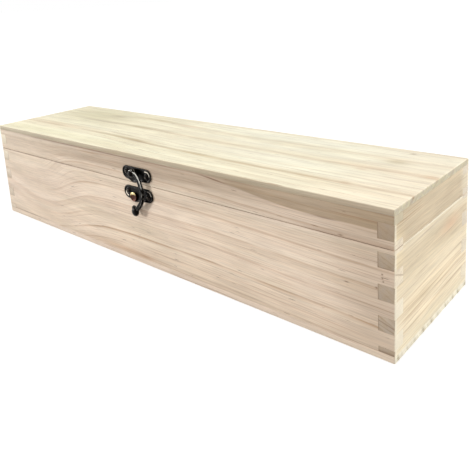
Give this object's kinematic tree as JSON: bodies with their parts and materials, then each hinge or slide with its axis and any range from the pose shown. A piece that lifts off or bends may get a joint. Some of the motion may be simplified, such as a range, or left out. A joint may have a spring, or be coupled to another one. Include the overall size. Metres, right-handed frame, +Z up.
{
  "type": "wooden wine box",
  "caption": "Long finger-jointed pine box for a wine bottle, with a hinged lid sawn off the same box and a bronze swing-hook latch.",
  "frame": {"origin": "centre of the underside of the bottom panel", "axes": "+X along the length of the box to the right as seen from its front, +Y from the front with the latch to the back with the hinges, +Z up"},
  "size_m": [0.402, 0.1114, 0.086],
  "materials": {
    "wall_pine": "raw sanded pine, pinkish beige, flat-sawn grain",
    "end_pine": "raw sanded pine, yellowish, straight grain",
    "panel_pine": "raw sanded pine, pale cream with long streaks",
    "hinge_bronze": "antique bronze, darkened",
    "latch_bronze": "antique bronze, near black with rubbed edges",
    "dark_bronze": "antique bronze, darkened",
    "worn_brass": "antique bronze, rubbed through to brass on its rim"
  },
  "bodies": {
    "base": {"base_front": "wall_pine", "base_back": "wall_pine", "base_left_end": "end_pine", "base_right_end": "end_pine", "base_bottom": "panel_pine", "hinge_left_base_leaf": "hinge_bronze", "hinge_left_pin": "dark_bronze", "hinge_left_base_screws": "dark_bronze", "hinge_right_base_leaf": "hinge_bronze", "hinge_right_pin": "dark_bronze", "hinge_right_base_screws": "dark_bronze", "latch_base_plate": "latch_bronze", "latch_base_screws": "dark_bronze", "latch_catch": "worn_brass"},
    "lid": {"lid_front": "wall_pine", "lid_back": "wall_pine", "lid_left_end": "end_pine", "lid_right_end": "end_pine", "lid_top": "panel_pine", "hinge_left_lid_leaf": "hinge_bronze", "hinge_left_lid_screws": "dark_bronze", "hinge_right_lid_leaf": "hinge_bronze", "hinge_right_lid_screws": "dark_bronze", "latch_lid_plate": "latch_bronze", "latch_lid_screws": "dark_bronze", "latch_rivet": "dark_bronze"},
    "hook": {"latch_hook": "latch_bronze"}
  },
  "joints": [
    {"name": "lid_hinge", "type": "hinge", "parent": "base", "child": "lid", "pos_m": [0, 0.053, 0.06415], "axis": [-1, 0, 0], "range_deg": [0, 180]},
    {"name": "hook_swing", "type": "hinge", "parent": "lid", "child": "hook", "pos_m": [-0.001, -0.0545, 0.0722], "axis": [0, -1, 0], "range_deg": [0, 180]}
  ]
}
